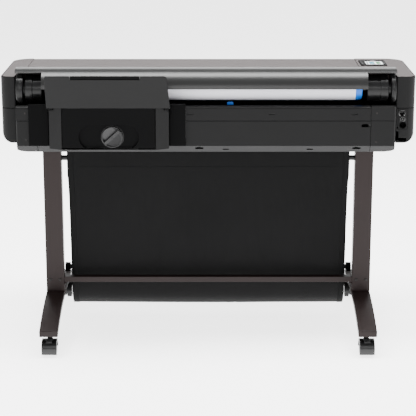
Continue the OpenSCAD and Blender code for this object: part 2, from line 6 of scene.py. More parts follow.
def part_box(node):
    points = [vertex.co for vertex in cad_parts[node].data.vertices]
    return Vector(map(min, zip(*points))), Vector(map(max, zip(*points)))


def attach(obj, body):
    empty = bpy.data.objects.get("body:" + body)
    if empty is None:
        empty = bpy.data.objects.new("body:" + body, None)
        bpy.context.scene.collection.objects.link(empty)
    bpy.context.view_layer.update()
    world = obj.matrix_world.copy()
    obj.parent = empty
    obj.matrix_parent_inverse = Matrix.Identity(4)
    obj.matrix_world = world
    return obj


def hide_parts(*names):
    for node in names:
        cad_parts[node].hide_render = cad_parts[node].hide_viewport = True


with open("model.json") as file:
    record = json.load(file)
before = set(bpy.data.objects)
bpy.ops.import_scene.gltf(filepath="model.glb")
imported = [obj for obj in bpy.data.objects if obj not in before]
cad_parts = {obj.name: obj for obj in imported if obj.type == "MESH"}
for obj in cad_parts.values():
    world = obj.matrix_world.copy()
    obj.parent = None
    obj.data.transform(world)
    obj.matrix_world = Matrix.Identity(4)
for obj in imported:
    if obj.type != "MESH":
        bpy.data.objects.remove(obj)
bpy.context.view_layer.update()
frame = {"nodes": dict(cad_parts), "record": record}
NODES = frame["nodes"]
MM = 0.001
SLOT_OF = {s["node"]: s["material_slot"] for s in frame["record"]["subparts"]}

# Places on the object that several details share, in millimetres.
LEG_X = 512.0                                       # middle of each leg and of its casters
AXLE_Y, AXLE_Z, SWIVEL_Y = 272.0, 25, 258           # caster axles, and the stems they trail behind
ROLL_Y, ROLL_Z = -138.0, 853.0                      # axis of the paper roll and its spindle
KNOB_X, KNOB_Z, FEEDER_Y = -300.0, 721.0, -256.0    # the lock's knob, on the feeder door's face
TRAY_X, TRAY_Y, TRAY_Z = -311, -256, 818            # middle of the feeder tray, and its hinge
TRAY_LEAN = math.radians(18.8)
DECK_Y, DECK_Z = -165, 896                          # rear edge of the sloping deck
DECK_SLOPE = math.atan(13 / 377)
PANEL_Y = -204.9                                    # outer face of the rear panels


# ---------------------------------------------------------------- camera, light, floor

def look(obj, target):
    obj.rotation_euler = (Vector(target) - obj.location).to_track_quat("-Z", "Y").to_euler()


def make_camera():
    cam = bpy.data.objects.new("camera", bpy.data.cameras.new("camera"))
    bpy.context.scene.collection.objects.link(cam)
    cam.location = (-0.0005, -4.6, 1.8)
    cam.rotation_euler = (math.radians(90 - 14.28), 0, 0)
    cam.data.sensor_width = 36
    cam.data.lens = 123.9
    cam.data.shift_y = -0.15
    cam.data.clip_end = 200
    bpy.context.scene.camera = cam


def area_light(name, place, target, size, power, colour=(1, 1, 1)):
    data = bpy.data.lights.new(name, "AREA")
    data.shape, data.size, data.size_y = "RECTANGLE", size[0], size[1]
    data.energy, data.color = power, colour
    light = bpy.data.objects.new(name, data)
    light.location = place
    bpy.context.scene.collection.objects.link(light)
    look(light, target)


def make_light():
    area_light("overhead", (0, -0.25, 3.6), (0, -0.15, 0.7), (3.6, 1.0), 380)
    area_light("left_box", (-3.4, -1.6, 1.5), (-0.3, 0, 0.6), (1.2, 2.0), 28)
    area_light("right_box", (3.4, -1.6, 1.5), (0.3, 0, 0.6), (1.2, 2.0), 52)
    area_light("front_fill", (0, -5.2, 2.4), (0, 0, 0.5), (3.5, 1.0), 85)
    area_light("back_box", (0, 3.2, 2.6), (0, 0.2, 0.6), (3.5, 1.4), 90)
    world = bpy.data.worlds.new("studio")
    bpy.context.scene.world = world
    world.use_nodes = True
    back = world.node_tree.nodes["Background"]
    back.inputs["Color"].default_value = (1, 1, 1, 1)
    back.inputs["Strength"].default_value = 0.55


# ---------------------------------------------------------------- materials

def node(tree, kind, **values):
    n = tree.nodes.new(kind)
    for key, value in values.items():
        if key in n.inputs:
            n.inputs[key].default_value = value
        else:
            setattr(n, key, value)
    return n


def scaled(colour, k):
    return tuple(min(1, c * k) for c in colour[:3]) + (1,)


def material(name, colour, rough, vary=0.08, rough_vary=0.06, grain=900, bump=0.15, depth=0.0002,
             metallic=0.0, coat=0.0, specular=0.5, sheen=0.0, stretch=(1, 1, 1), patch=6, dust=0.0):
    """A principled material with a grained surface, soft patches of tone and uneven gloss."""
    mat = bpy.data.materials.new(name)
    mat.use_nodes = True
    t = mat.node_tree
    bsdf = t.nodes["Principled BSDF"]
    bsdf.inputs["Metallic"].default_value = metallic
    bsdf.inputs["Specular IOR Level"].default_value = specular
    bsdf.inputs["Coat Weight"].default_value = coat
    bsdf.inputs["Sheen Weight"].default_value = sheen
    at = node(t, "ShaderNodeTexCoord").outputs["Object"]
    squeeze = node(t, "ShaderNodeMapping")
    squeeze.inputs["Scale"].default_value = stretch
    t.links.new(at, squeeze.inputs["Vector"])
    fine = node(t, "ShaderNodeTexNoise", Scale=grain, Detail=3.0, Roughness=0.6)
    broad = node(t, "ShaderNodeTexNoise", Scale=patch, Detail=4.0, Roughness=0.55)
    for n in (fine, broad):
        t.links.new(squeeze.outputs["Vector"], n.inputs["Vector"])
    tone = node(t, "ShaderNodeMix", data_type="RGBA")
    tone.inputs[6].default_value = scaled(colour, 1 - vary)
    tone.inputs[7].default_value = scaled(colour, 1 + vary)
    spread = node(t, "ShaderNodeMapRange")
    spread.inputs["From Min"].default_value, spread.inputs["From Max"].default_value = 0.3, 0.7
    t.links.new(broad.outputs["Fac"], spread.inputs["Value"])
    t.links.new(spread.outputs["Result"], tone.inputs[0])
    last = tone.outputs[2]
    if dust:
        # A little dust settles on faces that look up.
        normal = node(t, "ShaderNodeNewGeometry").outputs["Normal"]
        parts = node(t, "ShaderNodeSeparateXYZ")
        t.links.new(normal, parts.inputs[0])
        up = node(t, "ShaderNodeMapRange")
        up.inputs["From Min"].default_value, up.inputs["From Max"].default_value = 0.6, 1.0
        up.inputs["To Max"].default_value = dust
        t.links.new(parts.outputs["Z"], up.inputs["Value"])
        patchy = node(t, "ShaderNodeMath", operation="MULTIPLY")
        t.links.new(up.outputs["Result"], patchy.inputs[0])
        t.links.new(spread.outputs["Result"], patchy.inputs[1])
        dusty = node(t, "ShaderNodeMix", data_type="RGBA")
        dusty.inputs[7].default_value = (0.5, 0.48, 0.46, 1)
        t.links.new(patchy.outputs[0], dusty.inputs[0])
        t.links.new(last, dusty.inputs[6])
        last = dusty.outputs[2]
    t.links.new(last, bsdf.inputs["Base Color"])
    gloss = node(t, "ShaderNodeMapRange")
    gloss.inputs["To Min"].default_value = rough - rough_vary
    gloss.inputs["To Max"].default_value = rough + rough_vary
    t.links.new(fine.outputs["Fac"], gloss.inputs["Value"])
    t.links.new(gloss.outputs["Result"], bsdf.inputs["Roughness"])
    bumps = node(t, "ShaderNodeBump", Strength=bump, Distance=depth)
    t.links.new(fine.outputs["Fac"], bumps.inputs["Height"])
    t.links.new(bumps.outputs["Normal"], bsdf.inputs["Normal"])
    return mat


def woven(name, colour, thread=0.0011):
    """A plain weave that follows the sheet's own lengthwise and crosswise coordinates."""
    mat = material(name, colour, 0.9, vary=0.14, patch=3.5, bump=0.0, specular=0.09, sheen=0.03)
    t = mat.node_tree
    bsdf = t.nodes["Principled BSDF"]
    at = node(t, "ShaderNodeUVMap", uv_map="cut").outputs["UV"]
    parts = node(t, "ShaderNodeSeparateXYZ")
    t.links.new(at, parts.inputs[0])
    waves = []
    for axis in ("X", "Y"):
        turns = node(t, "ShaderNodeMath", operation="MULTIPLY")
        turns.inputs[1].default_value = math.pi / thread
        t.links.new(parts.outputs[axis], turns.inputs[0])
        wave = node(t, "ShaderNodeMath", operation="SINE")
        t.links.new(turns.outputs[0], wave.inputs[0])
        waves.append(wave.outputs[0])
    weave = node(t, "ShaderNodeMath", operation="MULTIPLY")
    for i in (0, 1):
        t.links.new(waves[i], weave.inputs[i])
    bumps = node(t, "ShaderNodeBump", Strength=0.5, Distance=0.0003)
    t.links.new(weave.outputs[0], bumps.inputs["Height"])
    t.links.new(bumps.outputs["Normal"], bsdf.inputs["Normal"])
    return mat


def brushed(name, colour, rough):
    """Metal with fine lines along X."""
    return material(name, colour, rough, vary=0.05, grain=60, bump=0.08, depth=0.0001, metallic=1.0,
                    stretch=(1, 40, 40))


def smoked_glass(name):
    """Dark clear plastic, as in the lid's window."""
    mat = material(name, (0.008, 0.0084, 0.009), 0.1, vary=0.03, rough_vary=0.03, grain=40, bump=0.01,
                   specular=0.3)
    bsdf = mat.node_tree.nodes["Principled BSDF"]
    bsdf.inputs["Transmission Weight"].default_value = 0.55
    bsdf.inputs["IOR"].default_value = 1.49
    return mat


def lit(name, colour, strength):
    """A surface that gives a little light of its own, as a screen does."""
    mat = material(name, colour, 0.25, vary=0.03, grain=300, bump=0.02)
    bsdf = mat.node_tree.nodes["Principled BSDF"]
    bsdf.inputs["Emission Color"].default_value = scaled(colour, 1)
    bsdf.inputs["Emission Strength"].default_value = strength
    return mat


def rolled_paper(name):
    """Paper with the fine rings of its layers, which show on the roll's two ends."""
    mat = material(name, (0.6, 0.595, 0.64), 0.62, vary=0.02, grain=700, bump=0.06, patch=9, specular=0.3)
    t = mat.node_tree
    bsdf = t.nodes["Principled BSDF"]
    at = node(t, "ShaderNodeTexCoord").outputs["Object"]
    centre = node(t, "ShaderNodeMapping")
    lo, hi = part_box("paper_roll")
    centre.inputs["Location"].default_value = (0, -(lo[1] + hi[1]) / 2, -(lo[2] + hi[2]) / 2)
    t.links.new(at, centre.inputs["Vector"])
    rings = node(t, "ShaderNodeTexWave", wave_type="RINGS", rings_direction="X", Scale=420.0,
                 Distortion=0.4)
    t.links.new(centre.outputs["Vector"], rings.inputs["Vector"])
    bumps = node(t, "ShaderNodeBump", Strength=0.25, Distance=0.0002)
    t.links.new(rings.outputs["Fac"], bumps.inputs["Height"])
    t.links.new(bumps.outputs["Normal"], bsdf.inputs["Normal"])
    return mat


MAT = {
    "stand_brown": material("stand_brown", (0.0088, 0.0046, 0.0043), 0.45, vary=0.1, grain=1400,
                            bump=0.25, dust=0.006, specular=0.15),
    "fastener_black": material("fastener_black", (0.008, 0.0065, 0.006), 0.5, grain=500, specular=0.2),
    "black_metal": material("black_metal", (0.004, 0.004, 0.0042), 0.38, grain=1100, bump=0.2,
                            specular=0.2),
    "black_plastic": material("black_plastic", (0.0012, 0.0012, 0.0013), 0.5, grain=1000, bump=0.2,
                              specular=0.03),
    "bin_fabric": woven("bin_fabric", (0.0032, 0.0032, 0.0033)),
    "caster_black": material("caster_black", (0.004, 0.004, 0.0042), 0.3, grain=500, bump=0.1,
                             specular=0.3),
    "wheel_tread": material("wheel_tread", (0.007, 0.007, 0.0072), 0.55, vary=0.2, grain=600, bump=0.3,
                            specular=0.2),
    "brake_grey": material("brake_grey", (0.02, 0.02, 0.0205), 0.4, grain=700, specular=0.25),
    "strip_grey": material("strip_grey", (0.0165, 0.0165, 0.0168), 0.55, grain=1000, bump=0.3,
                           specular=0.16),
    "shell_dark": material("shell_dark", (0.0038, 0.0038, 0.0039), 0.5, grain=1000, bump=0.3, dust=0.004,
                           specular=0.1),
    "deck_taupe": material("deck_taupe", (0.034, 0.0262, 0.0258), 0.5, vary=0.05, grain=1000, bump=0.25,
                           specular=0.2),
    "window_smoke": smoked_glass("window_smoke"),
    "cover_metallic": material("cover_metallic", (0.008, 0.008, 0.008), 0.3, vary=0.04, rough_vary=0.03,
                               grain=1200, bump=0.06, specular=0.32),
    "hub_gloss": material("hub_gloss", (0.0035, 0.0035, 0.0037), 0.3, vary=0.1, grain=1200, bump=0.03,
                          specular=0.2),
    "stop_blue": material("stop_blue", (0.0, 0.11, 0.5), 0.4, grain=600, bump=0.1, specular=0.3),
    "paper": rolled_paper("paper"),
    "screen_glass": material("screen_glass", (0.004, 0.005, 0.006), 0.14, vary=0.02, grain=60, bump=0.01,
                             specular=0.3),
    "button_grey": material("button_grey", (0.1, 0.1, 0.104), 0.35, grain=500, metallic=0.3),
    "steel": brushed("steel", (0.3, 0.305, 0.315), 0.34),
    "rubber_black": material("rubber_black", (0.006, 0.006, 0.006), 0.68, grain=450, bump=0.4,
                             specular=0.15),
    "board_green": material("board_green", (0.006, 0.035, 0.015), 0.35, grain=250, bump=0.3, specular=0.3),
    "door_black": material("door_black", (0.0014, 0.0014, 0.0015), 0.52, grain=1000, bump=0.25,
                           specular=0.035),
}
# Painted shade: a dark matte material that stands in for the shade inside holes, gaps and recesses.
HOLE_SHADE = material("painted_hole_shade", (0.003, 0.003, 0.003), 0.7, grain=500, bump=0.1)
HEM = material("bin_hem", (0.0028, 0.0028, 0.0029), 0.85, grain=1500, bump=0.4, specular=0.09)
KNOB = material("knob_satin", (0.014, 0.014, 0.0145), 0.32, vary=0.06, grain=500, bump=0.06, metallic=0.3,
                specular=0.35)
JACK = material("jack_metal", (0.12, 0.12, 0.12), 0.4, grain=300, bump=0.05, metallic=1.0)


# ---------------------------------------------------------------- mesh helpers

def new_mesh(name, build, slot, body, mat=None, bevel=0.0, subdivide=0, smooth=True, segments=2):
    """An object whose bmesh is filled by build(bm), in millimetres. It rides on a body."""
    bm = bmesh.new()
    build(bm)
    bmesh.ops.scale(bm, vec=(MM, MM, MM), verts=bm.verts)
    bmesh.ops.remove_doubles(bm, verts=bm.verts, dist=1e-6)
    bmesh.ops.recalc_face_normals(bm, faces=bm.faces)
    mesh = bpy.data.meshes.new(name)
    bm.to_mesh(mesh)
    bm.free()
    obj = bpy.data.objects.new(name, mesh)
    bpy.context.scene.collection.objects.link(obj)
    if smooth:
        mesh.polygons.foreach_set("use_smooth", [True] * len(mesh.polygons))
    mesh.materials.append(mat or MAT[slot])
    if bevel:
        add_bevel(obj, bevel, segments)
    if subdivide:
        sub = obj.modifiers.new("subdivide", "SUBSURF")
        sub.levels = sub.render_levels = subdivide
    if body:
        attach(obj, body)
    return obj


def add_bevel(obj, width_mm, segments=2, angle=32):
    bev = obj.modifiers.new("bevel", "BEVEL")
    bev.width, bev.segments = width_mm * MM, segments
    bev.limit_method, bev.angle_limit = "ANGLE", math.radians(angle)
    bev.use_clamp_overlap = True
    bev.miter_outer = "MITER_ARC"
    weight = obj.modifiers.new("weight", "WEIGHTED_NORMAL")
    weight.weight, weight.keep_sharp = 50, False


def tray_point(x, y, z):
    """A place on the leaning feeder tray: X, distance across its panel and height above its hinge."""
    c, s = math.cos(TRAY_LEAN), math.sin(TRAY_LEAN)
    return (x, TRAY_Y + y * c - z * s, TRAY_Z + y * s + z * c)


def circle(r, steps):
    """Points round a circle about the origin."""
    turns = [2 * math.pi * i / steps for i in range(steps)]
    return [(r * math.cos(a), r * math.sin(a)) for a in turns]


def skin(bm, rings, ends=(0, -1)):
    """Joins closed rings of vertices one to the next, and covers the rings whose places are in ends."""
    for a, b in zip(rings, rings[1:]):
        n = len(a)
        for i in range(n):
            bm.faces.new((a[i], a[(i + 1) % n], b[(i + 1) % n], b[i]))
    for end in ends:
        bm.faces.new(rings[end])


def prism(bm, outline, low, high, axis="Z"):
    """A straight prism: outline is 2D, low and high are its ends on the axis.

    The axis TRAY goes through the thickness of the leaning feeder tray.
    """
    def put(a, b, h):
        if axis == "TRAY":
            return tray_point(a, h, b)
        return {"X": (h, a, b), "Y": (a, h, b), "Z": (a, b, h)}[axis]

    skin(bm, [[bm.verts.new(put(a, b, h)) for a, b in outline] for h in (low, high)])


def block(bm, lo, hi):
    prism(bm, [(lo[0], lo[1]), (hi[0], lo[1]), (hi[0], hi[1]), (lo[0], hi[1])], lo[2], hi[2])


def round_rect(x0, y0, x1, y1, r, n=6):
    """Outline of a rectangle with round corners."""
    out = []
    corners = ((x1 - r, y0 + r, -90), (x1 - r, y1 - r, 0), (x0 + r, y1 - r, 90), (x0 + r, y0 + r, 180))
    for cx, cy, a in corners:
        for i in range(n + 1):
            t = math.radians(a + 90 * i / n)
            out.append((cx + r * math.cos(t), cy + r * math.sin(t)))
    return out


def lathe(bm, profile, turn, steps=48):
    """Turns (radius, height) pairs about Z, then places them with the matrix turn."""
    rings = []
    for r, h in profile:
        around = [(0, 0)] if r < 1e-6 else circle(r, steps)
        rings.append([bm.verts.new(turn @ Vector((x, y, h))) for x, y in around])
    for a, b in zip(rings, rings[1:]):
        for i in range(steps):
            j = (i + 1) % steps
            corners = [a[i % len(a)], a[j % len(a)], b[j % len(b)], b[i % len(b)]]
            unique = list(dict.fromkeys(corners))
            if len(unique) > 2:
                bm.faces.new(unique)


def facing(x, y, z, axis):
    """A matrix that puts +Z of a lathe along axis, at a place in millimetres."""
    return Matrix.Translation((x, y, z)) @ Vector(axis).to_track_quat("Z", "Y").to_matrix().to_4x4()


def tube(bm, path, radius, steps=12):
    """A round tube along a path of points, with closed ends."""
    pts = [Vector(p) for p in path]
    rings = []
    for i, p in enumerate(pts):
        d = (pts[min(i + 1, len(pts) - 1)] - pts[max(i - 1, 0)]).normalized()
        q = d.to_track_quat("Z", "Y")
        rings.append([bm.verts.new(p + q @ Vector((x, y, 0))) for x, y in circle(radius, steps)])
    skin(bm, rings)


# ---------------------------------------------------------------- CAD nodes

def corner_off(x, z, out, r=9.0):
    """Outline of what rounding takes off a top corner at x, z; out is the side the corner is on."""
    turn = [math.radians(90 * i / 8) for i in range(9)]
    return [(x + out * 2, z + 2), (x + out * 2, z - r)] + [
        (x - out * r + out * r * math.cos(a), z - r + r * math.sin(a)) for a in turn] + [(x - out * r, z + 2)]


SLOT_X = (-66, 192, 452)    # left ends of the three slots in the rear upper panel


def wing_vents(x0, x1):
    """Cooling slots in a row along a wing's side wall."""
    return [([(x0, y), (x1, y), (x1, y + 3.4), (x0, y + 3.4)], 716, 758, "Z") for y in range(-20, 100, 9)]


# Real cuts in the CAD shells: for each node (outline, from, to, axis), in millimetres.
CUTS = {
    "rear_upper_panel": [(round_rect(x, 781.4, x + 19, 784.8, 1.6), -209, -196, "Y") for x in SLOT_X],
    "rear_lower_panel": [
        (round_rect(484, 741, 509.5, 751, 4.9), -209, -196, "Y"),
        (round_rect(506, 744, 516, 747.4, 1.6), -209, -196, "Y"),
        ([(512, 761.4), (596, 761.4), (596, 762.4), (512, 762.4)], -206, -203.8, "Y"),
    ],
    "base_pan": [
        *[(round_rect(x, 664.4, x + 20, 667.8, 1.6), -215, -178, "Y") for x in (46, 313)],
        *[(round_rect(x, 667.6, x + 26, 673.4, 2.8), -215, -178, "Y") for x in (-41, 458)],
        *[(round_rect(x + 6, 671, x + 17, 675.2, 2.0), -215, -178, "Y") for x in (-41, 458)],
        ([(-541.4, 650), (-540.4, 650), (-540.4, 690), (-541.4, 690)], -215, -186, "Y"),
        ([(513.2, 650), (514.2, 650), (514.2, 690), (513.2, 690)], -215, -186, "Y"),
        *[(round_rect(x, -120, x + 8, 120, 3.9), 650, 663, "Z") for x in range(-180, 200, 24)],
    ],
    "right_wing_lower": [
        (round_rect(590, 688, 606, 718, 3), -170, -160, "Y"),
        (round_rect(600.6, 728.6, 603.4, 731.4, 1.3), -170, -160, "Y"),
        *wing_vents(640, 670),
    ],
    "left_wing_lower": wing_vents(-670, -640),
    "input_tray": [(corner_off(x, 115, out), -12, -3, "TRAY") for x, out in ((-504, -1), (-127, 1))],
    "asf_housing": [(round_rect(x, 806, x + 3.2, 812, 1.4), -262, -236, "Y") for x in (-487, -138)],
}


def cutter_for(name, shapes):
    """A hidden object that holds all the shapes cut out of one node."""
    def build(bm):
        for outline, low, high, axis in shapes:
            prism(bm, outline, low, high, axis)

    obj = new_mesh("cutter_" + name, build, "black_plastic", None, smooth=False)
    obj.hide_render = True
    obj.hide_viewport = True
    return obj


# Edge rounding in millimetres; nodes not named here get 0.6.
BEVELS = {
    "left_wing_upper": 1.6, "right_wing_upper": 1.6, "left_wing_lower": 1.6, "right_wing_lower": 1.6,
    "top_deck": 1.0, "front_lid": 1.2, "front_apron": 1.4, "asf_housing": 2.0, "asf_door": 0.8,
    "input_tray": 1.1, "roll_cover": 0.5, "left_column": 2.2, "right_column": 2.2, "left_foot": 2.2,
    "right_foot": 2.2, "crossbar": 1.8, "rear_upper_panel": 1.0, "rear_lower_panel": 1.0, "base_pan": 1.2,
    "asf_brackets": 1.4, "spindle_hubs": 1.2, "roll_stop_blue": 0.8, "control_bezel": 1.2,
    "carriage": 2.0, "ink_cartridges": 1.2, "stand_fasteners": 0.7, "lid_window": 0.5, "paper_roll": 0.3,
}


def finish_node(name):
    """Gives a CAD node its material, its real cuts and its rounded edges."""
    obj = NODES[name]
    mesh = obj.data
    for attribute in ("custom_normal", "sharp_edge"):
        if attribute in mesh.attributes:
            mesh.attributes.remove(mesh.attributes[attribute])
    mesh.polygons.foreach_set("use_smooth", [True] * len(mesh.polygons))
    for slot in obj.material_slots:
        slot.material = MAT[SLOT_OF[name]]
    weld = obj.modifiers.new("weld", "WELD")
    weld.merge_threshold = 1e-5
    if name in CUTS:
        cut = obj.modifiers.new("cut", "BOOLEAN")
        cut.object, cut.operation, cut.solver = cutter_for(name, CUTS[name]), "DIFFERENCE", "EXACT"
        cut.use_self = True
    flat = obj.modifiers.new("flat", "DECIMATE")
    flat.decimate_type, flat.angle_limit = "DISSOLVE", math.radians(0.8)
    add_bevel(obj, BEVELS.get(name, 0.6))
    # Tiny edges would hold back every bevel of a shell, so only the thin cover's is clamped.
    obj.modifiers["bevel"].use_clamp_overlap = name == "roll_cover"


# ---------------------------------------------------------------- the media bin's fabric

# The sling's path from its rear rod down, forward and up to its front rod, as (Y, Z) in millimetres.
BIN_PATH = [(-56, 632), (-56, 540), (-33, 200), (-14, 110), (12, 76), (50, 64), (150, 64), (198, 84),
            (230, 112), (236, 132), (226, 143), (212, 142)]
ACROSS = 92                 # cells across the sheet
HELD_REAR, HELD_FRONT = 10, 5    # rows of points held by the sleeves of the two rods


def smooth_path(points, step):
    """Even steps along a path whose corners are rounded by three rounds of corner cutting."""
    p = [Vector(q) for q in points]
    for _ in range(3):
        p = [p[0]] + [q for a, b in zip(p, p[1:]) for q in (a.lerp(b, 0.25), a.lerp(b, 0.75))] + [p[-1]]
    length = sum((b - a).length for a, b in zip(p, p[1:]))
    count = max(2, round(length / step))
    out, want, done = [p[0]], length / count, 0.0
    for a, b in zip(p, p[1:]):
        d = (b - a).length
        while done + d >= want * len(out) - 1e-6 and len(out) <= count:
            out.append(a.lerp(b, (want * len(out) - done) / d))
        done += d
    return out[:count] + [p[-1]], length


def settle(obj):
    """Lets the hung sheet settle in a cloth simulation, with its held rows pinned."""
    mesh = obj.data
    cloth = obj.modifiers.new("cloth", "CLOTH")
    s = cloth.settings
    s.quality, s.mass = 6, 0.25
    s.tension_stiffness = s.compression_stiffness = 40
    s.shear_stiffness, s.bending_stiffness = 20, 2.5
    s.vertex_group_mass = "pins"
    s.shrink_min = -0.004
    cloth.point_cache.frame_start, cloth.point_cache.frame_end = 1, 30
    scene = bpy.context.scene
    for f in range(1, 26):
        scene.frame_set(f)
    settled = bpy.data.meshes.new_from_object(obj.evaluated_get(bpy.context.evaluated_depsgraph_get()))
    obj.modifiers.remove(cloth)
    # No point may move far, so the sheet keeps the sling's shape.
    for before, after in zip(mesh.vertices, settled.vertices):
        move = after.co - before.co
        if move.length > 0.012:
            move = move.normalized() * 0.012
        before.co += move
    bpy.data.meshes.remove(settled)
    scene.frame_set(1)


def sew(co, rows):
    """Sewn hems down both sides, and the stitched seams that close the rods' sleeves.

    co holds the settled sheet's points in millimetres, row by row.
    """
    pieces = []

    def at(i, j):
        return co[j * (ACROSS + 1) + i]

    for side, outer, inner in (("left", 0, 2), ("right", ACROSS, ACROSS - 2)):
        def build(bm, outer=outer, inner=inner):
            front, back = [], []
            for j in range(rows):
                a, b = at(outer, j), at(inner, j)
                along = at(outer, min(j + 1, rows - 1)) - at(outer, max(j - 1, 0))
                n = along.cross(b - a).normalized()
                strip = [a + (a - b).normalized() * 0.6, a.lerp(b, 0.5), b.lerp(a, 0.1), b]
                lift = [1.5, 2.1, 2.0, 0.9]
                front.append([bm.verts.new(p + n * h) for p, h in zip(strip, lift)])
                back.append([bm.verts.new(p - n * h) for p, h in zip(strip, lift)])
            for j in range(rows - 1):
                for k in range(3):
                    bm.faces.new((front[j][k], front[j][k + 1], front[j + 1][k + 1], front[j + 1][k]))
                    bm.faces.new((back[j][k + 1], back[j][k], back[j + 1][k], back[j + 1][k + 1]))
                for k in (0, 3):
                    bm.faces.new((front[j][k], front[j + 1][k], back[j + 1][k], back[j][k]))
            for j in (0, rows - 1):
                for k in range(3):
                    bm.faces.new((front[j][k], back[j][k], back[j][k + 1], front[j][k + 1]))
        pieces.append(new_mesh("bin_hem_" + side, build, "bin_fabric", "chassis", mat=HEM))

    for label, j in (("rod", 6), ("front", rows - 8)):
        def build(bm, j=j):
            for i in range(3, ACROSS - 3):
                for k in (0.12, 0.62):
                    a, b = at(i, j).lerp(at(i + 1, j), k), at(i, j).lerp(at(i + 1, j), k + 0.36)
                    n = (b - a).cross(at(i, j + 1) - at(i, j - 1)).normalized()
                    for face in (1, -1):
                        crown = a.lerp(b, 0.5) + n * 1.25 * face
                        tube(bm, [a + n * 0.7 * face, crown, b + n * 0.7 * face], 0.45, 6)
        pieces.append(new_mesh("bin_stitches_" + label, build, "bin_fabric", "chassis", mat=HEM))
    return pieces


def make_bin():
    """The bin's sheet, cut flat and hung from its two rods."""
    width = 926.0
    path, length = smooth_path(BIN_PATH, 10.0)
    rows = len(path)
    free_rows = range(HELD_REAR, rows - HELD_FRONT - 1)
    bm = bmesh.new()
    uv = bm.loops.layers.uv.new("cut")
    grid = []
    for j, p in enumerate(path):
        row = []
        for i in range(ACROSS + 1):
            x = (i / ACROSS - 0.5) * width
            # The sheet is a touch slack, so it starts with faint uneven waves.
            wave = 1.6 * noise.noise(Vector((x * 0.006, j * 0.05, 3.1))) if j in free_rows else 0
            row.append(bm.verts.new((x, p.x + wave, p.y)))
        grid.append(row)
    for j in range(rows - 1):
        for i in range(ACROSS):
            f = bm.faces.new((grid[j][i], grid[j][i + 1], grid[j + 1][i + 1], grid[j + 1][i]))
            f.smooth = True
            for loop, (a, b) in zip(f.loops, ((i, j), (i + 1, j), (i + 1, j + 1), (i, j + 1))):
                loop[uv].uv = (a / ACROSS * width * MM, b / (rows - 1) * length * MM)
    bmesh.ops.scale(bm, vec=(MM, MM, MM), verts=bm.verts)
    mesh = bpy.data.meshes.new("bin_sheet")
    bm.to_mesh(mesh)
    bm.free()
    obj = bpy.data.objects.new("bin_sheet", mesh)
    bpy.context.scene.collection.objects.link(obj)
    mesh.materials.append(MAT["bin_fabric"])
    pins = obj.vertex_groups.new(name="pins")
    for j in range(rows):
        if j < HELD_REAR or j >= rows - HELD_FRONT:
            pins.add([j * (ACROSS + 1) + i for i in range(ACROSS + 1)], 1.0, "REPLACE")
    settle(obj)
    # The side edges pull in a little between the two rods.
    for k, v in enumerate(mesh.vertices):
        j, i = divmod(k, ACROSS + 1)
        if j in free_rows:
            down = (j - 9) / (rows - 15)
            edge = (i / ACROSS - 0.5) * 2
            v.co.x -= 5.0 * math.sin(math.pi * down ** 0.55) * edge ** 5 * MM
    thick = obj.modifiers.new("thickness", "SOLIDIFY")
    thick.thickness, thick.offset = 1.6 * MM, 0
    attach(obj, "chassis")
    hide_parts("bin_fabric")
    pieces = sew([v.co.copy() / MM for v in mesh.vertices], rows)


# ---------------------------------------------------------------- details of the body

def screw(name, x, y, z, axis=(0, -1, 0), r=3.6, slot="fastener_black", body="chassis"):
    """A pan-head screw with a cross recess, in a shallow washer ring."""
    turn = facing(x, y, z, axis)

    def build(bm):
        lathe(bm, [(0, 0.2), (r * 0.16, 0.2), (r * 0.3, 1.0), (r * 0.72, 0.8), (r * 0.95, 0.3), (r, -0.4),
                   (r * 1.35, -0.3), (r * 1.45, -0.9), (0, -0.9)], turn, 24)
        for a, b in ((r * 0.12, r * 0.55), (r * 0.55, r * 0.12)):
            corners = ((-a, -b), (a, -b), (a, b), (-a, b))
            skin(bm, [[bm.verts.new(turn @ Vector((u, v, h))) for u, v in corners] for h in (0.95, 0.35)])

    return new_mesh(name, build, slot, body)


def make_screws():
    for i, (x, z) in enumerate(((-577, 786), (-576, 700), (532, 787), (532, 693))):
        screw(f"panel_screw_{i}", x, PANEL_Y, z, r=3.2)
    for side, s in (("left", -1), ("right", 1)):
        for k, dx in enumerate((-16, 16)):
            screw(f"column_screw_{side}_{k}", s * LEG_X + dx, -64.6, 182, r=3.4)


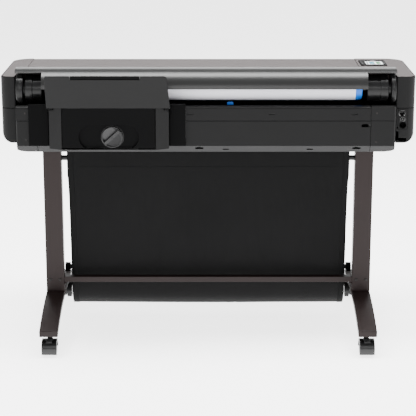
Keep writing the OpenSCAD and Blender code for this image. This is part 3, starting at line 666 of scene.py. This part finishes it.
def make_knob():
    """The lock's knob: a disc hollowed out on both sides of a raised grip bar."""
    r, dish = 33.0, 4.6
    angle = math.radians(42)
    across = Vector((-math.sin(angle), 0, math.cos(angle)))
    along = Vector((math.cos(angle), 0, math.sin(angle)))

    def point(u, v, y):
        p = along * u + across * v
        return (KNOB_X + p.x, FEEDER_Y + y, KNOB_Z + p.z)

    def disc(bm):
        rings, steps = 12, 64
        centre = bm.verts.new(point(0, 0, dish))
        rows = []
        for k in range(1, rings + 1):
            row = []
            for u, v in circle((r - 2.4) * k / rings, steps):
                rise = min(1.0, abs(v) / (r - 3)) ** 1.25
                rim = max(0.0, (k / rings - 0.86) / 0.14)
                row.append(bm.verts.new(point(u, v, dish * (1 - rise) * (1 - rim) + 0.2)))
            rows.append(row)
        for rr, y in ((r - 1.9, -0.9), (r - 0.6, -1.0), (r, -0.2), (r, 7.4)):
            rows.append([bm.verts.new(point(u, v, y)) for u, v in circle(rr, steps)])
        for i in range(steps):
            bm.faces.new((centre, rows[0][i], rows[0][(i + 1) % steps]))
        skin(bm, rows, ends=(-1,))

    def bar(bm):
        outline = round_rect(-30.5, -5.4, 30.5, 5.4, 1.2, 3)
        top = [bm.verts.new(point(u * 0.985, v * 0.86, -5.8)) for u, v in outline]
        low = [bm.verts.new(point(u, v, 5)) for u, v in outline]
        skin(bm, [top, low], ends=(-1,))
        # A small round dimple in the middle of the bar.
        dimple = ((2.2, -5.8), (2.0, -2.0))
        skin(bm, [[bm.verts.new(point(u, v, y)) for u, v in circle(rr, 16)] for rr, y in dimple], ends=(-1,))
        edges = [e for e in bm.edges if e.is_boundary]
        bmesh.ops.triangle_fill(bm, use_beauty=True, edges=edges)

    def post(bm):
        lathe(bm, [(0, -5), (4.2, -5), (5, -4), (5, 6), (4, 7.6), (0, 7.6)],
              facing(KNOB_X, FEEDER_Y + 7, KNOB_Z, (0, 1, 0)), 24)

    def ring(bm):
        lathe(bm, [(33.9, 7.9), (34.2, 7.0), (35.6, 6.9), (36.2, 7.9)],
              facing(KNOB_X, FEEDER_Y, KNOB_Z, (0, 1, 0)), 64)

    for piece in (new_mesh("knob_disc", disc, "hub_gloss", "lock_knob", mat=KNOB),
                  new_mesh("knob_bar", bar, "hub_gloss", "lock_knob", mat=KNOB, bevel=0.7),
                  new_mesh("knob_post", post, "hub_gloss", "lock_knob")):
        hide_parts("lock_knob")
    # The dark ring paints the shade in the groove round the knob.
    new_mesh("knob_ring", ring, "door_black", "asf_door", mat=HOLE_SHADE)


def make_sockets():
    """Insides of the three sockets: a shielded network jack, a USB jack and a three-pole inlet."""
    def jack(bm):
        x0, x1, z0, z1, y = 606.3, 626.7, 768.3, 785.7, -164.6
        walls = ((x0, z0, x0 + 1.3, z1), (x1 - 1.3, z0, x1, z1), (x0, z1 - 1.3, x1, z1),
                 (x0, z0, x0 + 5.2, z0 + 4), (x1 - 5.2, z0, x1, z0 + 4))
        for xa, za, xb, zb in walls:
            block(bm, (xa, y, za), (xb, y + 14, zb))
        for i in range(8):
            x = 610.6 + i * 1.6
            tube(bm, [(x, -150, 783.5), (x, -157, 782.5), (x, -162, 778.5)], 0.35, 6)

    def usb(bm):
        outer = [(611.2, 751.3), (626.8, 751.3), (626.8, 760.6), (623.8, 763.7), (614.2, 763.7), (611.2, 760.6)]
        mid = Vector((619, 757.5))
        inner = [tuple(mid + (Vector(p) - mid) * 0.86) for p in outer]
        rings = ((outer, -150), (outer, -164.8), (inner, -164.8), (inner, -152))
        skin(bm, [[bm.verts.new((x, y, z)) for x, z in o] for o, y in rings], ends=(-1,))
        prism(bm, round_rect(615.4, 755.6, 622.6, 759.2, 0.6, 2), -162.5, -151, "Y")

    def inlet(bm):
        x, y, z = 620, -165, 738.5
        turn = facing(x, y, z, (0, -1, 0))
        lathe(bm, [(9.4, -16), (9.4, 0.4), (10.6, 0.9), (11.4, 0.3), (11.4, -0.4), (9.5, -0.4), (9.3, -16)],
              turn, 40)
        lathe(bm, [(0, -14.6), (7.8, -14.6), (8.3, -15.4), (0, -15.8)], turn, 32)
        for a in (math.radians(90), math.radians(210), math.radians(330)):
            pole = facing(x + 4.6 * math.cos(a), y, z + 4.6 * math.sin(a), (0, -1, 0))
            lathe(bm, [(0, -3.6), (0.7, -3.8), (1.1, -4.4), (1.1, -15), (0, -15)], pole, 12)

    new_mesh("network_jack", jack, "steel", "chassis", mat=JACK)
    new_mesh("usb_jack", usb, "steel", "chassis", mat=JACK)
    new_mesh("inlet_liner", inlet, "black_plastic", "chassis", bevel=0.2)


def deck_point(x, along, up):
    """A place on the sloping deck: X, distance forward of its rear edge and height above it."""
    c, s = math.cos(DECK_SLOPE), math.sin(DECK_SLOPE)
    return (x, DECK_Y + along * c + up * s, DECK_Z - along * s + up * c)


def on_deck(bm, outline, low, high):
    """A flat slab that lies on the deck, between two heights above it."""
    skin(bm, [[bm.verts.new(deck_point(x, a, h)) for x, a in outline] for h in (low, high)])


def make_panel():
    """The touch panel: a lit pane with plain tiles, and light marks on the keys around it."""
    def pane(bm):
        on_deck(bm, round_rect(525, 232, 581, 290, 2), 2.2, 2.75)

    new_mesh("screen_pane", pane, "screen_glass", "chassis", mat=lit("screen_white", (0.6, 0.64, 0.64), 1.2),
             bevel=0.15)
    for label, colour, box in (("teal", (0.01, 0.16, 0.22), (537, 238, 554, 280)),
                               ("green", (0.0, 0.13, 0.03), (560, 238, 574, 280)),
                               ("slate", (0.05, 0.08, 0.1), (528, 238, 533, 280))):
        def tile(bm, box=box):
            on_deck(bm, round_rect(*box, 1.5), 2.6, 2.95)

        new_mesh("screen_tile_" + label, tile, "screen_glass", "chassis", mat=lit("tile_" + label, colour, 1.2),
                 bevel=0.1)

    def keys(bm):
        for x in (513.5, 585.5):
            for a in (244, 262, 280):
                on_deck(bm, round_rect(x - 2.4, a - 2.4, x + 2.4, a + 2.4, 2.3), 2.8, 3.25)

    def collar(bm):
        centre = Vector(deck_point(553, 305, 0))
        up = (Vector(deck_point(553, 305, 1)) - centre).normalized()
        lathe(bm, [(6.5, 2.6), (6.7, 3.3), (7.6, 3.5), (8.3, 3.2), (8.5, 2.6)], facing(*centre, up), 40)

    new_mesh("panel_key_marks", keys, "button_grey", "chassis", bevel=0.15)
    new_mesh("button_collar", collar, "button_grey", "chassis")


def make_spindle_details():
    """Grip ribs round the hubs, the roll's cardboard core, and the loose edge of the paper."""
    def ribs(bm):
        for x0, x1 in ((-603.5, -588.5), (582.5, 590.5)):
            for u, v in circle(50.7, 90):
                tube(bm, [(x0, ROLL_Y + u, ROLL_Z + v), (x1, ROLL_Y + u, ROLL_Z + v)], 0.55, 6)

    def core(bm):
        for x0, x1 in ((-446.9, -440), (460, 466.9)):
            d = x1 - x0
            lathe(bm, [(25.1, 0), (27.8, 0), (28.1, 0.3), (28.1, d - 0.3), (27.8, d), (25.1, d), (25.1, 0)],
                  facing(x0, ROLL_Y, ROLL_Z, (1, 0, 0)), 48)

    def edge(bm):
        # The sheet's free edge lies on the roll as a thin step.
        arc = [math.radians(a) for a in range(100, 126, 2)]
        rows = []
        for k, a in enumerate(arc):
            r = 37.5 + 0.35 * k / (len(arc) - 1)
            rows.append([bm.verts.new((x, ROLL_Y + (r + h) * math.cos(a), ROLL_Z + (r + h) * math.sin(a)))
                         for x, h in ((-446.9, 0), (466.9, 0), (466.9, 0.2), (-446.9, 0.2))])
        skin(bm, rows)

    def flag(bm):
        block(bm, (60, -170, 806), (80, -160, 813))
        for x in (64, 72):
            block(bm, (x, -171.5, 808), (x + 5, -169.5, 816))

    card = material("card", (0.36, 0.27, 0.18), 0.75, grain=300, bump=0.3)
    new_mesh("hub_ribs", ribs, "hub_gloss", "spindle")
    new_mesh("roll_core", core, "paper", "spindle", mat=card)
    new_mesh("roll_free_edge", edge, "paper", "spindle")
    new_mesh("sensor_flag", flag, "stop_blue", "chassis", bevel=0.6)


def make_casters(end, e):
    """Moulded bands on the front hoods and hub caps on the wheels, for the casters of one end."""
    for side, s in (("left", -1), ("right", 1)):
        x0, y0 = s * LEG_X, e * AXLE_Y

        def hood(bm):
            # A raised band over the crown of the hood, and a rib down each side.
            for left, right, r0, r1 in ((-6.5, 6.5, 29.3, 30.4), (-24.9, -23.1, 29.2, 30.0),
                                        (23.1, 24.9, 29.2, 30.0)):
                section = ((left, r0), (right, r0), (right - 0.5, r1), (left + 0.5, r1))
                rows = []
                for k in range(15):
                    a = math.radians(28 + 100 * k / 14)
                    c, h = e * math.cos(a), math.sin(a)
                    rows.append([bm.verts.new((x0 + dx, y0 + c * r, AXLE_Z + h * r)) for dx, r in section])
                skin(bm, rows)

        def caps(bm):
            for out in (-1, 1):
                turn = facing(x0 + out * 22, y0, AXLE_Z, (out, 0, 0))
                lathe(bm, [(0, 0.9), (4.5, 0.8), (6.2, 0.2), (7.4, -0.6)], turn, 32)
                spoke = ((6.8, -0.7), (12, -1.4), (17, -1.6))
                for u, v in circle(1, 6):
                    tube(bm, [turn @ Vector((r * u, r * v, h)) for r, h in spoke], 1.0, 6)

        if end == "front":
            new_mesh(f"caster_hood_band_{end}_{side}", hood, "caster_black", f"caster_{end}_{side}", bevel=0.3)
        new_mesh(f"wheel_caps_{end}_{side}", caps, "wheel_tread", f"wheels_{end}_{side}")


def make_brake_ribs():
    """Ribs across the two brake pedals, which are on the rear casters."""
    for side, s in (("left", -1), ("right", 1)):
        def pedal(bm):
            for k in range(5):
                back = 26 + k * 2.8
                top = 58 + (20 - back) * (5 / 21) + 0.15
                tube(bm, [(s * LEG_X + dx, -SWIVEL_Y - back, top) for dx in (-8.5, 8.5)], 0.7, 8)

        new_mesh(f"brake_ribs_{side}", pedal, "brake_grey", f"brake_{side}")


def make_tray_details():
    """Stiffening ribs and the ticks of a width scale on the feeder tray's inner face."""
    def slab(bm, lo, hi):
        pts = [tray_point(x, y, z) for x in (lo[0], hi[0]) for y in (lo[1], hi[1]) for z in (lo[2], hi[2])]
        v = [bm.verts.new(p) for p in pts]
        for f in ((0, 1, 3, 2), (4, 6, 7, 5), (0, 4, 5, 1), (2, 3, 7, 6), (0, 2, 6, 4), (1, 5, 7, 3)):
            bm.faces.new([v[i] for i in f])

    def ribs(bm):
        for i in range(9):
            x = TRAY_X + (i - 4) * 22
            slab(bm, (x - 0.9, -6.3, 8), (x + 0.9, -6.0, 100))

    def ticks(bm):
        for i in range(13):
            for s in (-1, 1):
                x = TRAY_X + s * (108 + i * 3.5)
                slab(bm, (x - 0.3, -6.25, 9), (x + 0.3, -6.05, 9 + (5 if i % 4 == 0 else 3)))

    new_mesh("tray_ribs", ribs, "shell_dark", "input_tray")
    new_mesh("tray_ticks", ticks, "button_grey", "input_tray")


def make_feeder_details():
    """The tray's hinge pins, the latches in the feeder's brackets, and dark pieces that paint the shade in and
    behind the open gaps.
    """
    def pins(bm):
        for x, d in ((-499.6, -1), (-122.4, 1)):
            lathe(bm, [(0, 1.0), (3.2, 1.0), (4.2, 0.4), (4.4, -0.4), (0, -0.4)],
                  facing(x + d * 3.4, TRAY_Y, TRAY_Z, (d, 0, 0)), 24)

    def latches(bm):
        for x0, x1 in ((-512, -504), (-117, -109)):
            block(bm, (x0, -218, 786), (x1, -214.6, 812))
            block(bm, (x0 + 1.6, -219.5, 788), (x1 - 1.6, -217.8, 792))

    def gap(bm):
        # A dark strip on the panel face paints the shade in the thin gap beside the feeder's bracket.
        block(bm, (-71.6, -206.3, 706), (-70.0, -204.8, 806))

    def dark_shade_sheets(bm):
        # Painted shade: dark sheets behind the vertical seam at the right, and behind the three slots of the
        # upper panel, where the inside of the body is in shade.
        block(bm, (507, -200.4, 684), (520, -199.2, 800))
        for x in SLOT_X:
            block(bm, (x - 4, -200.4, 777), (x + 23, -199.2, 789))

    new_mesh("tray_pin_caps", pins, "hub_gloss", "input_tray")
    new_mesh("feeder_latches", latches, "black_plastic", "chassis", bevel=0.8)
    new_mesh("painted_shade_feeder_gap", gap, "black_plastic", "chassis", mat=HOLE_SHADE, bevel=0.2)
    new_mesh("painted_seam_shade", dark_shade_sheets, "black_plastic", "chassis", mat=HOLE_SHADE, bevel=0.2)


def make_front_details():
    """User side: the lid's grip and the frame round its window."""
    def grip(bm):
        prism(bm, round_rect(-110, 811.6, 14, 816.6, 2.2), 212.0, 214.6, "Y")

    def window_frame(bm):
        outer = round_rect(-562, 819.6, 466, 864.4, 4)
        inner = round_rect(-559.4, 822.4, 463.4, 861.6, 2.5)
        section = ((outer, 211.6), (outer, 212.7), (inner, 212.7), (inner, 211.6))
        rings = [[bm.verts.new((x, y, z)) for x, z in o] for o, y in section]
        skin(bm, rings + rings[:1], ends=())

    new_mesh("lid_grip", grip, "deck_taupe", "front_lid", bevel=0.8)
    new_mesh("window_frame", window_frame, "black_plastic", "front_lid")


def make_floor():
    """A wide pale floor that gives a little light, for a plain backdrop."""
    mesh = bpy.data.meshes.new("floor")
    bm = bmesh.new()
    bmesh.ops.create_grid(bm, x_segments=8, y_segments=8, size=30)
    bm.to_mesh(mesh)
    bm.free()
    floor = bpy.data.objects.new("floor", mesh)
    floor.location = (0, 0, -0.0005)
    bpy.context.scene.collection.objects.link(floor)
    pale = material("floor_pale", (0.96, 0.96, 0.96), 0.7, vary=0.004, grain=20, bump=0.01, specular=0.2)
    glow = pale.node_tree.nodes["Principled BSDF"]
    glow.inputs["Emission Color"].default_value = (1, 1, 1, 1)
    glow.inputs["Emission Strength"].default_value = 3.0
    mesh.materials.append(pale)


# ---------------------------------------------------------------- build

make_camera()
make_light()
for name in NODES:
    finish_node(name)
make_bin()
make_screws()
make_knob()
make_sockets()
make_panel()
make_spindle_details()
make_casters("rear", -1)
make_brake_ribs()
make_casters("front", 1)
make_tray_details()
make_feeder_details()
make_front_details()
make_floor()
bpy.context.view_layer.update()
